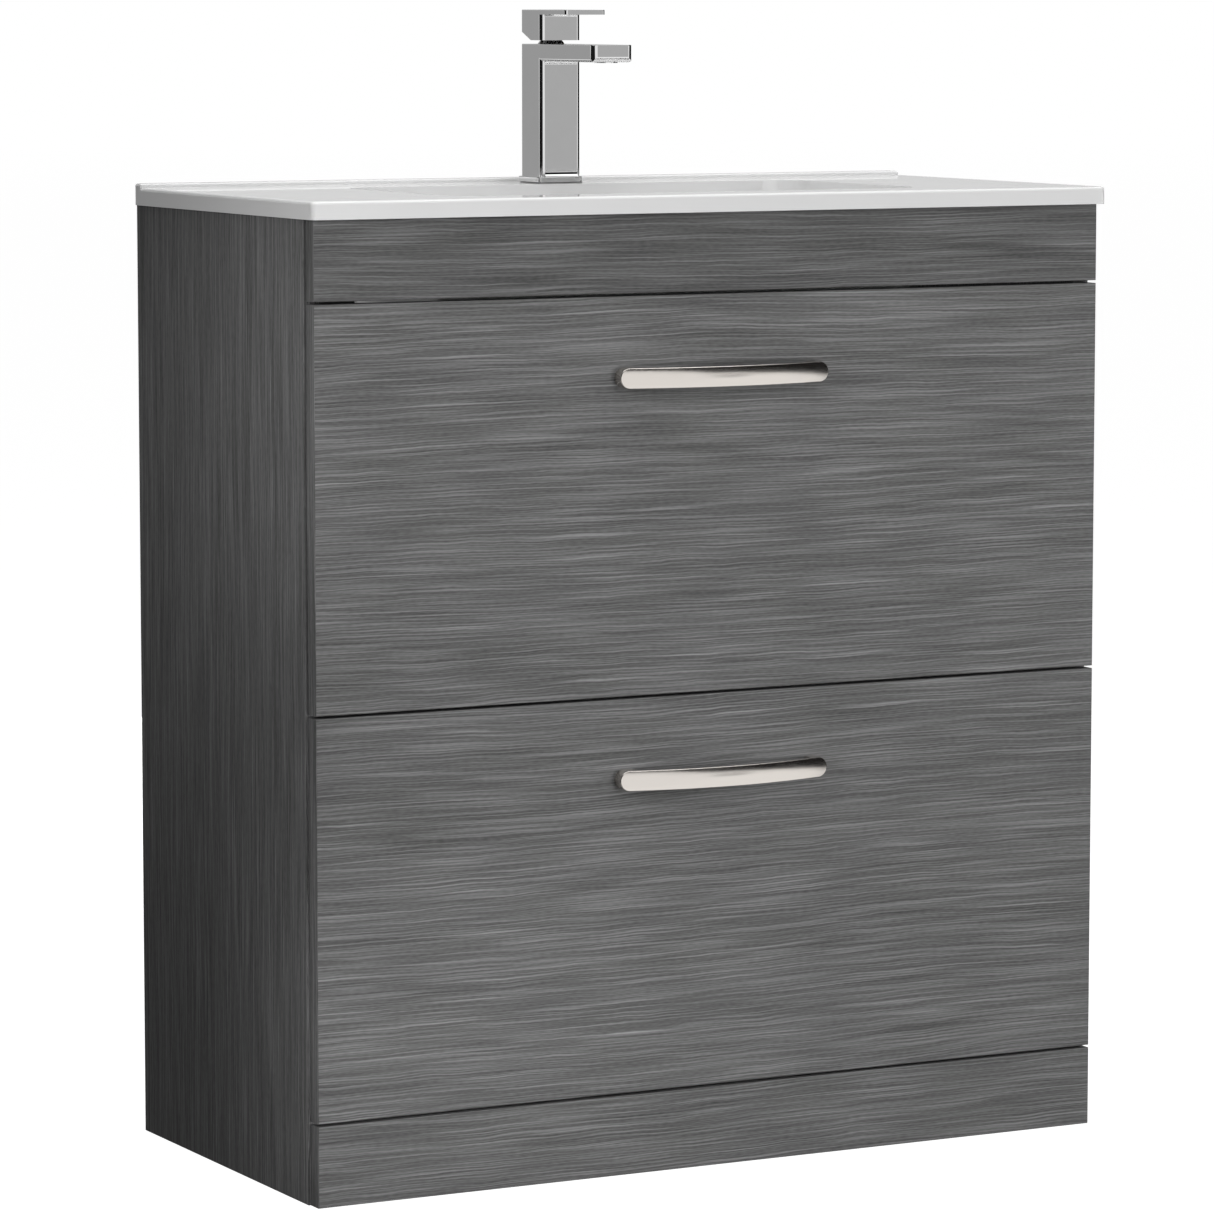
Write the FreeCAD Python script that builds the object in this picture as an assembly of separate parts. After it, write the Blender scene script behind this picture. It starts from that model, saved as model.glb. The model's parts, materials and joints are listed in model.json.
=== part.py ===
"""Floor-standing bathroom vanity cabinet, 800 mm wide, with two drawers, a basin and a mixer tap.

Frame, in millimetres: +Z up from the floor, +Y towards the wall, +X to the right for a person facing the
drawers. The origin is on the floor, at the centre of the whole object's box.

The carcass is built from 16 mm boards that cams and dowels join. The fascia and the plinth are fixed
fronts, and the two drawers are steel-sided boxes on three-member ball runners. The basin rests on the carcass.
Its bowl drains through a push waste into a bottle trap, and the upper drawer is cut out in a U to pass the
trap.
The tap's lever tilts for flow and swivels for temperature.
"""
import FreeCAD, Part
import math
import os

V = FreeCAD.Vector
OUT = "parts"

# ---- driving dimensions -------------------------------------------------------------------------------
CABINET_WIDTH = 800.0
CABINET_HEIGHT = 864.0
CABINET_DEPTH = 383.0        # wall to the face of the fronts
BOARD = 16.0                 # every melamine board
BUFFER_GAP = 1.0             # between the fronts and the side panels' edges
FRONT_WIDTH = 796.0
FRONT_GAP = 2.5              # between one front and the next
FASCIA_HEIGHT = 70.7
DRAWER_FRONT_HEIGHT = 356.7
EDGE_ROUND = 1.0             # edge banding

HANDLE_LENGTH = 212.0
HANDLE_HEIGHT = 18.5
HANDLE_STANDOFF = 8.0        # drawer face to the back of the strip at its ends
HANDLE_BOW = 16.5            # rise of the arc at mid length
HANDLE_EDGE = 2.2            # thickness of the strip at its edges
HANDLE_STRIP = 3.8           # thickness of the strip along its crown
HANDLE_RIM_ROUND = 1.1
HANDLE_BELOW_TOP = 72.0      # handle's centre line below the top of its drawer front
HANDLE_FEET = 192.0          # between the two screws
HANDLE_END = 17.0            # length of the solid end that stands on the drawer front
HANDLE_DEPTH = HANDLE_STANDOFF + HANDLE_BOW + HANDLE_STRIP

BASIN_SIDE_OVERHANG = 3.0
BASIN_FRONT_OVERHANG = 8.0
BASIN_RIM = 16.0             # thickness of the slab
BASIN_UPSTAND = 4.0          # lip along the wall
BASIN_UPSTAND_DEPTH = 15.0
BOWL_WIDTH = 480.0
BOWL_FRONT = 44.0            # face of the fronts to the bowl's front edge
BOWL_BACK = 290.0            # face of the fronts to the bowl's back edge
BOWL_DEPTH = 108.0           # below the top of the rim
BOWL_WALL = 10.0
BOWL_DRAFT = 14.0            # how much each wall leans in over its height
BOWL_CORNER = 34.0

TAP_WIDTH = 42.0
TAP_DEPTH = 40.0
TAP_FRONT = 309.0            # face of the fronts to the front of the column
TAP_BODY_HEIGHT = 130.0      # above the rim
TAP_CORNER = 4.0             # upright corners of the column, the spout's tip and the lever block
SPOUT_REACH = 105.0          # in front of the column
SPOUT_THICK = 16.0
SPOUT_BELLY = 3.5            # rounding of the spout's two lower edges
FOOT_ROUND = 4.5             # hollow curve between the column's front and its flange
LEVER_GAP = 3.5              # between the body and the lever's skirt
LEVER_BLOCK = 24.0
LEVER_PLATE = 4.5
LEVER_LENGTH = 90.0

DRAWER_TRAVEL = 290.0
RUNNER_LENGTH = 300.0
STEEL_SIDE = 13.0            # thickness of a drawer's steel side
STEEL_SIDE_HEIGHT = 86.0

# ---- places worked out from them ----------------------------------------------------------------------
Y_WALL = (CABINET_DEPTH + HANDLE_DEPTH) / 2
Y_FACE = Y_WALL - CABINET_DEPTH              # face of the fronts
Y_FRONT_BACK = Y_FACE + BOARD                # back of the fronts
Y_CARCASS = Y_FRONT_BACK + BUFFER_GAP        # front edge of the side panels
Y_RAIL = Y_WALL - BOARD                      # front of the back rails
X_INNER = CABINET_WIDTH / 2 - BOARD          # inner face of a side panel
Z_RIM = CABINET_HEIGHT + BASIN_RIM
Z_FASCIA = CABINET_HEIGHT - FASCIA_HEIGHT
Z_UPPER = Z_FASCIA - FRONT_GAP - DRAWER_FRONT_HEIGHT
Z_LOWER = Z_UPPER - FRONT_GAP - DRAWER_FRONT_HEIGHT
PLINTH_HEIGHT = Z_LOWER - FRONT_GAP
Z_BASE = 70.0                                # underside of the base panel
Z_MIDDLE = 426.0                             # underside of the rail between the drawers
Y_WASTE = 0.0
Y_TAP = Y_FACE + TAP_FRONT + TAP_DEPTH / 2
Z_BOWL = Z_RIM - BOWL_DEPTH                  # floor of the bowl


# ---- small helpers ------------------------------------------------------------------------------------
def block(x0, x1, y0, y1, z0, z1):
    """A box between two corners."""
    return Part.makeBox(x1 - x0, y1 - y0, z1 - z0, V(x0, y0, z0))


def rod(radius, start, direction, length):
    """A solid cylinder from a point along a direction."""
    return Part.makeCylinder(radius, length, V(*start), V(*direction))


def tube(outer, inner, start, direction, length):
    return rod(outer, start, direction, length).cut(rod(inner, start, direction, length))


def mirrored(shape):
    """The same shape on the other side of the YZ plane."""
    return shape.mirror(V(0, 0, 0), V(1, 0, 0))


def both(shape):
    return [shape, mirrored(shape)]


def fuse(shapes):
    result = shapes[0]
    for other in shapes[1:]:
        result = result.fuse(other)
    return result.removeSplitter()


def cut_all(shape, tools):
    for tool in tools:
        shape = shape.cut(tool)
    return shape


def edges_at(shape, test):
    """The edges whose two ends and middle all pass a test on a point."""
    found = []
    for edge in shape.Edges:
        middle = edge.valueAt((edge.FirstParameter + edge.LastParameter) / 2)
        points = [v.Point for v in edge.Vertexes] + [middle]
        if all(test(p) for p in points):
            found.append(edge)
    return found


def near(a, b):
    return abs(a - b) < 1e-4


def banded_front(board, y_face):
    """A front board with its four front edges rounded, as edge banding is."""
    return board.makeFillet(EDGE_ROUND, edges_at(board, lambda p: near(p.y, y_face)))


def rounded_rectangle(x0, x1, y0, y1, z, radius):
    """A closed wire with four round corners."""
    arcs = []
    for cx, cy, turn in ((x1 - radius, y1 - radius, 0), (x0 + radius, y1 - radius, 90),
                         (x0 + radius, y0 + radius, 180), (x1 - radius, y0 + radius, 270)):
        points = []
        for step in (0, 45, 90):
            angle = math.radians(turn + step)
            points.append(V(cx + radius * math.cos(angle), cy + radius * math.sin(angle), z))
        arcs.append(Part.Arc(*points).toShape())
    edges = []
    for i, arc in enumerate(arcs):
        following = arcs[(i + 1) % 4]
        edges.append(arc)
        edges.append(Part.LineSegment(arc.lastVertex().Point, following.firstVertex().Point).toShape())
    return Part.Wire(Part.__sortEdges__(edges))


def hexagon(across_flats, z0, height, centre):
    """A hexagonal prism about the Z axis."""
    corner = across_flats / math.sqrt(3)
    points = []
    for i in range(7):
        angle = math.radians(60 * i)
        points.append(V(centre[0] + corner * math.cos(angle), centre[1] + corner * math.sin(angle), z0))
    return Part.Face(Part.makePolygon(points)).extrude(V(0, 0, height))


NODES = {}


def keep(name, *shapes):
    """Adds closed solids to a node."""
    NODES.setdefault(name, []).extend(shapes)


# ---- joints between boards: cam, bolt and dowel -------------------------------------------------------
CAM_RADIUS = 7.5
CAM_DEPTH = 12.5
CAM_INSET = 34.0             # board's end to the cam's centre
BOLT_RADIUS = 3.5
BOLT_IN_PANEL = 11.0
DOWEL_RADIUS = 4.0
DOWEL_HALF = 12.0
FIT = 0.1                    # radial room round cams, bolts and dowels


def joint_tools(side, y, z, cam_face):
    """Cutting tools and fittings for one cam and bolt that tie a board to a side panel.

    side is -1 or 1. cam_face is the direction, as a tuple, in which the cam's bore opens from the middle
    of the board.
    """
    middle = V(side * (X_INNER - CAM_INSET), y, z)
    opening = V(*cam_face)
    bottom = middle + opening * (BOARD / 2 - CAM_DEPTH)
    bore = Part.makeCylinder(CAM_RADIUS, CAM_DEPTH + 1, bottom, opening)
    cam = Part.makeCylinder(CAM_RADIUS - FIT, CAM_DEPTH - 0.3, bottom, opening)
    driver = Part.makeBox(8, 8, 8, V(-4, -4, -4))
    turn = FreeCAD.Rotation(V(0, 0, 1), opening)
    driver.Placement = FreeCAD.Placement(bottom + opening * (CAM_DEPTH + 1.2), turn)
    cam = cam.cut(driver)
    start = (side * (X_INNER - CAM_INSET), y, z)
    hole = rod(BOLT_RADIUS, start, (side, 0, 0), CAM_INSET + BOLT_IN_PANEL + 0.5)
    bolt = rod(BOLT_RADIUS - FIT, start, (side, 0, 0), CAM_INSET + BOLT_IN_PANEL)
    cam = cam.cut(rod(BOLT_RADIUS - FIT, start, (side, 0, 0), CAM_INSET))
    return bore, hole, cam, bolt


def dowel_tools(side, y, z):
    start = (side * (X_INNER - DOWEL_HALF), y, z)
    hole = rod(DOWEL_RADIUS, (start[0] - side * 0.5, y, z), (side, 0, 0), 2 * DOWEL_HALF)
    peg = rod(DOWEL_RADIUS - FIT / 2, start, (side, 0, 0), 2 * DOWEL_HALF - 1)
    return hole, peg


# ---- carcass ------------------------------------------------------------------------------------------
RAIL_TOP_HEIGHT = 100.0
RAIL_BOTTOM_HEIGHT = 100.0
WALL_HOLE_SPACING = 600.0
WALL_HOLE_RADIUS = 3.0
WALL_HOLE_Z = 822.0


def carcass():
    boards = {
        "base_panel": block(-X_INNER, X_INNER, Y_FRONT_BACK, Y_WALL, Z_BASE, Z_BASE + BOARD),
        "top_front_rail": block(-X_INNER, X_INNER, Y_FRONT_BACK, Y_FRONT_BACK + BOARD,
                                Z_FASCIA, CABINET_HEIGHT),
        "middle_rail": block(-X_INNER, X_INNER, Y_CARCASS, Y_CARCASS + 60, Z_MIDDLE, Z_MIDDLE + BOARD),
        "back_rail_top": block(-X_INNER, X_INNER, Y_RAIL, Y_WALL,
                               CABINET_HEIGHT - RAIL_TOP_HEIGHT, CABINET_HEIGHT),
        "back_rail_bottom": block(-X_INNER, X_INNER, Y_RAIL, Y_WALL, Z_BASE + BOARD,
                                  Z_BASE + BOARD + RAIL_BOTTOM_HEIGHT),
        "plinth_rail_front": block(-X_INNER, X_INNER, Y_FRONT_BACK, Y_FRONT_BACK + BOARD, 0, Z_BASE),
        "plinth_rail_back": block(-X_INNER, X_INNER, Y_RAIL, Y_WALL, 0, Z_BASE),
    }
    # board, y and z of the cams in its middle plane, y and z of the dowels, the way the cams' bores open
    base_z = Z_BASE + BOARD / 2
    front_y = Y_FRONT_BACK + BOARD / 2
    back_y = Y_WALL - BOARD / 2
    fixings = [
        ("base_panel", [(-110, base_z), (140, base_z)], [(-78, base_z), (108, base_z)], (0, 0, -1)),
        ("top_front_rail", [(front_y, Z_FASCIA + 24)], [(front_y, Z_FASCIA + 54)], (0, 1, 0)),
        ("middle_rail", [(Y_CARCASS + 18, Z_MIDDLE + BOARD / 2)],
         [(Y_CARCASS + 44, Z_MIDDLE + BOARD / 2)], (0, 0, -1)),
        ("back_rail_top", [(back_y, CABINET_HEIGHT - 66)], [(back_y, CABINET_HEIGHT - 34)], (0, -1, 0)),
        ("back_rail_bottom", [(back_y, Z_BASE + 76)], [(back_y, Z_BASE + 44)], (0, -1, 0)),
        ("plinth_rail_front", [(front_y, 46)], [(front_y, 18)], (0, 1, 0)),
        ("plinth_rail_back", [(back_y, 46)], [(back_y, 18)], (0, -1, 0)),
    ]
    panels = {
        -1: block(-CABINET_WIDTH / 2, -X_INNER, Y_CARCASS, Y_WALL, 0, CABINET_HEIGHT),
        1: block(X_INNER, CABINET_WIDTH / 2, Y_CARCASS, Y_WALL, 0, CABINET_HEIGHT),
    }
    for side in (-1, 1):
        outer_x = side * CABINET_WIDTH / 2
        outer = edges_at(panels[side], lambda p: near(p.y, Y_CARCASS) and near(p.x, outer_x))
        panels[side] = panels[side].makeFillet(EDGE_ROUND, outer)
    for name, cams, dowels, opening in fixings:
        for side in (-1, 1):
            for y, z in cams:
                bore, hole, cam, bolt = joint_tools(side, y, z, opening)
                boards[name] = boards[name].cut(bore).cut(hole)
                panels[side] = panels[side].cut(hole)
                keep("cam_fittings", cam, bolt)
            for y, z in dowels:
                hole, peg = dowel_tools(side, y, z)
                boards[name] = boards[name].cut(hole)
                panels[side] = panels[side].cut(hole)
                keep("panel_dowels", peg)
    for x in (-WALL_HOLE_SPACING / 2, WALL_HOLE_SPACING / 2):
        hole = rod(WALL_HOLE_RADIUS, (x, Y_RAIL - 1, WALL_HOLE_Z), (0, 1, 0), BOARD + 2)
        boards["back_rail_top"] = boards["back_rail_top"].cut(hole)
    for name, shape in boards.items():
        keep("plinth_rails" if name.startswith("plinth_rail") else name, shape)
    keep("side_panel_left", panels[-1])
    keep("side_panel_right", panels[1])


SCREW_RADIUS = 2.0
SCREW_HEAD = 4.0


def fixed_fronts():
    """The fascia and the plinth, with the screws that hold them from behind."""
    half = FRONT_WIDTH / 2
    fascia = banded_front(block(-half, half, Y_FACE, Y_FRONT_BACK, Z_FASCIA, CABINET_HEIGHT), Y_FACE)
    plinth = banded_front(block(-half, half, Y_FACE, Y_FRONT_BACK, 0, PLINTH_HEIGHT), Y_FACE)
    screws = []
    for x in (-270, -90, 90, 270):
        for z in (Z_FASCIA + 36, 36):
            shank = rod(SCREW_RADIUS, (x, Y_FACE + 4, z), (0, 1, 0), BOARD - 4 + BOARD - 2.5)
            head_at = V(x, Y_FRONT_BACK + BOARD - 2.5, z)
            head = Part.makeCone(SCREW_RADIUS, SCREW_HEAD, 2.5, head_at, V(0, 1, 0))
            screws.append(fuse([shank, head]))
    fascia = cut_all(fascia, screws)
    plinth = cut_all(plinth, screws)
    for name in ("top_front_rail", "plinth_rails"):
        NODES[name] = [cut_all(rail, screws) for rail in NODES[name]]
    keep("fascia_panel", fascia)
    keep("plinth_panel", plinth)
    keep("front_screws", *screws)


# ---- handles ------------------------------------------------------------------------------------------
def bowed_strip(z):
    """The strip: a crowned section turned about an upright axis behind the drawer front."""
    half = HANDLE_LENGTH / 2
    h = HANDLE_HEIGHT / 2
    radius = (half ** 2 + HANDLE_BOW ** 2) / (2 * HANDLE_BOW)
    axis_y = Y_FACE - HANDLE_STANDOFF - HANDLE_BOW + radius
    y_back = axis_y - radius
    low, high = V(0, y_back, z - h), V(0, y_back, z + h)
    low_edge, high_edge = V(0, y_back - HANDLE_EDGE, z - h), V(0, y_back - HANDLE_EDGE, z + h)
    crown = Part.Arc(low_edge, V(0, y_back - HANDLE_STRIP, z), high_edge).toShape()
    section = Part.Face(Part.Wire([Part.makeLine(low, low_edge), crown, Part.makeLine(high_edge, high),
                                   Part.makeLine(high, low)]))
    section.rotate(V(0, axis_y, z), V(0, 0, 1), -22)
    return section.revolve(V(0, axis_y, z), V(0, 0, 1), 44)


def handle(z_top):
    """One bow handle and its two screws. Returns the tools that drill the front."""
    z = z_top - HANDLE_BELOW_TOP
    half = HANDLE_LENGTH / 2
    r = HANDLE_HEIGHT / 2
    deep = HANDLE_DEPTH + 2
    strip = bowed_strip(z)
    outline = fuse([block(-half + r, half - r, Y_FACE - deep, Y_FACE, z - r, z + r),
                    rod(r, (-half + r, Y_FACE - deep, z), (0, 1, 0), deep),
                    rod(r, (half - r, Y_FACE - deep, z), (0, 1, 0), deep)])
    body = strip.common(outline)
    # the solid ends: the outline's two ends between the strip's back and the drawer front
    radius = (half ** 2 + HANDLE_BOW ** 2) / (2 * HANDLE_BOW)
    axis_y = Y_FACE - HANDLE_STANDOFF - HANDLE_BOW + radius
    behind_strip = Part.makeCylinder(radius + 0.5, HANDLE_HEIGHT + 4, V(0, axis_y, z - r - 2))
    ends, holes, screws = [], [], []
    for side in (-1, 1):
        x0, x1 = sorted((side * (half - HANDLE_END), side * (half + 1)))
        ends.append(outline.common(block(x0, x1, Y_FACE - deep, Y_FACE, z - r, z + r)).common(behind_strip))
        x = side * HANDLE_FEET / 2
        holes.append(rod(2.25, (x, Y_FACE - 0.01, z), (0, 1, 0), BOARD + 1))
        shank = rod(1.95, (x, Y_FRONT_BACK, z), (0, -1, 0), BOARD + 7)
        head = rod(4.0, (x, Y_FRONT_BACK, z), (0, 1, 0), 2.4)
        slot = block(x - 3, x + 3, Y_FRONT_BACK + 1.4, Y_FRONT_BACK + 3, z - 0.5, z + 0.5)
        screws.append(fuse([shank, head]).cut(slot))
    body = fuse([body] + ends)
    body = body.makeFillet(HANDLE_RIM_ROUND, [e for e in body.Edges if on_face(e, axis_y, radius)])
    for side in (-1, 1):
        body = body.cut(rod(2.0, (side * HANDLE_FEET / 2, Y_FACE + 1, z), (0, -1, 0), 9))
    return body, screws, holes


def on_face(edge, axis_y, radius):
    """Whether an edge lies on the strip's face, away from its back."""
    middle = edge.valueAt((edge.FirstParameter + edge.LastParameter) / 2)
    points = [v.Point for v in edge.Vertexes] + [middle]
    return all(math.hypot(p.x, p.y - axis_y) > radius + HANDLE_EDGE - 0.4 for p in points)


# ---- three-member ball runner, drawn for the left side ------------------------------------------------
SHEET = 1.2                  # runner steel
FIXED_HEIGHT = 45.0
MID_HEIGHT = 33.8
INNER_HEIGHT = 24.6
FLANGE_FREE = 10.5           # side panel to the free edge of the fixed member's flanges
MID_WEB = 2.4                # side panel to the middle member's web
INNER_WEB = 11.5             # side panel to the inner member's web
RUNNER_WIDTH = INNER_WEB + SHEET
CAGE_LENGTH = 100.0
Y_RUNNER = Y_CARCASS + 4.0


def channel(x_web, x_free, height, z, y0, length):
    """A C section: a web at x_web and two flanges that reach x_free."""
    outward = 1 if x_free > x_web else -1
    web = sorted((x_web, x_web + outward * SHEET))
    flange = sorted((x_web, x_free))
    h = height / 2
    return fuse([block(web[0], web[1], y0, y0 + length, z - h, z + h),
                 block(flange[0], flange[1], y0, y0 + length, z + h - SHEET, z + h),
                 block(flange[0], flange[1], y0, y0 + length, z - h, z - h + SHEET)])


def ball_cage(x_web, thickness, x_ball, outer_height, ball_radius, z, y0):
    """A strip that holds two rows of balls between a pair of members."""
    reach = outer_height / 2
    parts = [block(x_web, x_web + thickness, y0, y0 + CAGE_LENGTH, z - reach, z + reach)]
    for sign in (-1, 1):
        z_row = z + sign * reach
        arm = sorted((x_web, x_ball + 1.5))
        parts.append(block(arm[0], arm[1], y0, y0 + CAGE_LENGTH, z_row - 0.4, z_row + 0.4))
        for i in range(5):
            y = y0 + CAGE_LENGTH * (i + 0.5) / 5
            parts.append(Part.makeSphere(ball_radius, V(x_ball, y, z_row)))
    return fuse(parts)


def runner(name, z):
    """The fixed, middle and inner members and the two ball cages, on both sides of one drawer."""
    x = -X_INNER
    fixed = channel(x, x + FLANGE_FREE, FIXED_HEIGHT, z, Y_RUNNER, RUNNER_LENGTH)
    mid = channel(x + MID_WEB, x + FLANGE_FREE - 0.6, MID_HEIGHT, z, Y_RUNNER, RUNNER_LENGTH)
    inner = channel(x + RUNNER_WIDTH, x + 5.0, INNER_HEIGHT, z, Y_RUNNER, RUNNER_LENGTH)
    for y in (Y_RUNNER + 33, Y_RUNNER + 261):
        screw_head = rod(3.0, (x + SHEET, y, z), (-1, 0, 0), SHEET)
        shank = rod(1.8, (x, y, z), (-1, 0, 0), 12)
        fixed = fuse([fixed, screw_head, shank])
        for panel, sign in (("side_panel_left", 1), ("side_panel_right", -1)):
            NODES[panel] = [NODES[panel][0].cut(rod(1.8, (sign * x, y, z), (-sign, 0, 0), 12))]
    cage_y = Y_RUNNER + (RUNNER_LENGTH - CAGE_LENGTH) / 2
    outer_gap = (FIXED_HEIGHT - MID_HEIGHT) / 2 - SHEET
    inner_gap = (MID_HEIGHT - INNER_HEIGHT) / 2 - SHEET
    outer_row = MID_HEIGHT + outer_gap
    inner_row = INNER_HEIGHT + inner_gap
    outer = ball_cage(x + SHEET + 0.3, 0.6, x + 6.4, outer_row, outer_gap / 2 - 0.2, z, cage_y)
    inside = ball_cage(x + MID_WEB + SHEET + 0.3, 0.6, x + 7.4, inner_row, inner_gap / 2 - 0.2, z, cage_y)
    keep("runner_fixed_members", *both(fixed))
    keep(f"{name}_runner_middle", *both(mid))
    keep(f"{name}_runner_inner", *both(inner))
    keep(f"{name}_ball_cages_outer", *both(outer))
    keep(f"{name}_ball_cages_inner", *both(inside))


# ---- drawers ------------------------------------------------------------------------------------------
BOX_ABOVE_FRONT_FOOT = 22.0  # drawer base above the foot of its front
BOX_LENGTH = 318.0
BACK_HEIGHT = 150.0
RAIL_RADIUS = 5.0
RAIL_ABOVE_SIDE = 62.0
LEDGE = 1.5
LEDGE_WIDTH = 14.0
RECESS_HALF = 100.0          # half the width of the U that passes the trap
RECESS_FRONT = -52.0
RECESS_CORNER = 20.0
LINER = 2.0
LINER_HEIGHT = 100.0
PLATE = 2.0                  # front bracket's plate


def steel_side(z0, y0, y1):
    """The left side of a drawer box: a folded, hollow profile with a ledge for the base."""
    x0 = -X_INNER + RUNNER_WIDTH
    x1 = x0 + STEEL_SIDE
    top = z0 + STEEL_SIDE_HEIGHT
    outer = block(x0, x1, y0, y1, z0, top)
    outer = outer.makeFillet(4.0, edges_at(outer, lambda p: near(p.z, top)
                                           and (near(p.x, x0) or near(p.x, x1))
                                           and not (near(p.y, y0) and near(p.y, y1)))[:2])
    hollow = block(x0 + 1, x1 - 1, y0, y1, z0 + 1, top - 5)
    ledge = block(x1 - 1, x1 + LEDGE_WIDTH, y0, y1, z0, z0 + LEDGE)
    return fuse([outer.cut(hollow), ledge])


def recess_outline(grow, z0, z1):
    """The U, open to the back, as a solid between two heights."""
    x = RECESS_HALF + grow
    wire = rounded_rectangle(-x, x, RECESS_FRONT - grow, Y_WALL + 60, z0, RECESS_CORNER + grow)
    return Part.Face(wire).extrude(V(0, 0, z1 - z0))


def drawer(name, z_foot, with_recess):
    z_top = z_foot + DRAWER_FRONT_HEIGHT
    half = FRONT_WIDTH / 2
    front = banded_front(block(-half, half, Y_FACE, Y_FRONT_BACK, z_foot, z_top), Y_FACE)
    bow, screws, holes = handle(z_top)
    front = cut_all(front, holes)

    y0 = Y_FRONT_BACK + PLATE
    y1 = Y_FRONT_BACK + BOX_LENGTH
    z_side = z_foot + BOX_ABOVE_FRONT_FOOT - LEDGE
    z_base = z_side + LEDGE
    x_in = X_INNER - RUNNER_WIDTH - STEEL_SIDE
    side = steel_side(z_side, y0, y1)
    base = block(-x_in, x_in, Y_FRONT_BACK, y1, z_base, z_base + BOARD)
    back = block(-x_in, x_in, y1 - BOARD, y1, z_base + BOARD, z_base + BOARD + BACK_HEIGHT)

    # front brackets: a plate on the front with two press-in dowels, and a tongue inside the hollow side
    x_side = -X_INNER + RUNNER_WIDTH
    plate = block(x_side + 0.5, x_side + 34, Y_FRONT_BACK, y0, z_side + 20, z_side + 80)
    tongue = block(x_side + 5, x_side + 7, y0, y0 + 40, z_side + 24, z_side + 76)
    dowels = [rod(5.0, (x_side + 22, Y_FRONT_BACK, z_side + dz), (0, -1, 0), 11) for dz in (34, 66)]
    bracket = fuse([plate, tongue] + dowels)
    for shape in both(fuse([rod(5.0, (x_side + 22, Y_FRONT_BACK + 1, z_side + dz), (0, -1, 0), 12)
                            for dz in (34, 66)])):
        front = front.cut(shape)

    # gallery rail, its socket on the front and its post on the back corner
    x_rail = x_side + STEEL_SIDE / 2
    z_side_top = z_side + STEEL_SIDE_HEIGHT
    z_rail = z_side_top + RAIL_ABOVE_SIDE
    rail = rod(RAIL_RADIUS, (x_rail, Y_FRONT_BACK + 3, z_rail), (0, 1, 0), BOX_LENGTH - 3 - 6)
    socket = tube(8.0, RAIL_RADIUS, (x_rail, Y_FRONT_BACK + 3, z_rail), (0, 1, 0), 12)
    socket = fuse([socket, rod(8.0, (x_rail, Y_FRONT_BACK, z_rail), (0, 1, 0), 3)])
    post = block(x_side + 0.5, -x_in, y1 - BOARD, y1, z_side_top, z_rail + 9)
    post = post.makeFillet(3.0, edges_at(post, lambda p: near(p.z, z_rail + 9)))
    post = post.cut(rail)

    if with_recess:
        base = base.cut(recess_outline(0, z_base - 1, z_base + BOARD + 1))
        z_liner = z_base + BOARD
        liner = recess_outline(LINER, z_liner, z_liner + LINER_HEIGHT)
        liner = liner.cut(recess_outline(0, z_liner - 1, z_liner + LINER_HEIGHT + 1))
        liner = liner.common(block(-200, 200, RECESS_FRONT - 10, y1, z_liner, z_liner + LINER_HEIGHT))
        keep(f"{name}_trap_recess_liner", liner)
        x_liner = RECESS_HALF + LINER
        left_back = block(-x_in, -x_liner, y1 - BOARD, y1, z_base + BOARD, z_base + BOARD + BACK_HEIGHT)
        keep(f"{name}_drawer_back", *both(left_back))
    else:
        keep(f"{name}_drawer_back", back)
    keep(f"{name}_drawer_front", front)
    keep(f"{name}_handle", bow)
    keep(f"{name}_handle_screws", *screws)
    keep(f"{name}_drawer_base", base)
    keep(f"{name}_drawer_sides", *both(side))
    keep(f"{name}_front_brackets", *both(bracket))
    keep(f"{name}_gallery_rails", *both(rail), *both(socket), *both(post))
    for x in (-X_INNER - 8, X_INNER + 8):
        for z in (z_foot + 20, z_top - 20):
            keep("rubber_parts", rod(4.0, (x, Y_CARCASS, z), (0, -1, 0), 0.7))
    runner(name, z_side + 40.0)


# ---- basin, waste and trap ----------------------------------------------------------------------------
WASTE_HOLE_RADIUS = 22.5
TAP_HOLE_RADIUS = 17.5
OVERFLOW_Z = 846.0
OVERFLOW_RADIUS = 11.0
CONDUIT_HALF = 26.0
CONDUIT_WALL = 5.0
CONDUIT_GAP = 7.0            # depth of the conduit's channel


def bowl_solid(grow, z_top, z_bottom, round_bottom):
    """The bowl's inside (grow 0) or outside, leaning in towards its floor."""
    y0 = Y_FACE + BOWL_FRONT
    y1 = Y_FACE + BOWL_BACK
    half = BOWL_WIDTH / 2
    top = rounded_rectangle(-half - grow, half + grow, y0 - grow, y1 + grow, z_top, BOWL_CORNER + grow)
    lean = BOWL_DRAFT - grow
    low = rounded_rectangle(-half + lean, half - lean, y0 + lean, y1 - lean, z_bottom, BOWL_CORNER)
    solid = Part.makeLoft([top, low], True, True)
    return solid.makeFillet(round_bottom, edges_at(solid, lambda p: near(p.z, z_bottom)))


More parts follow.
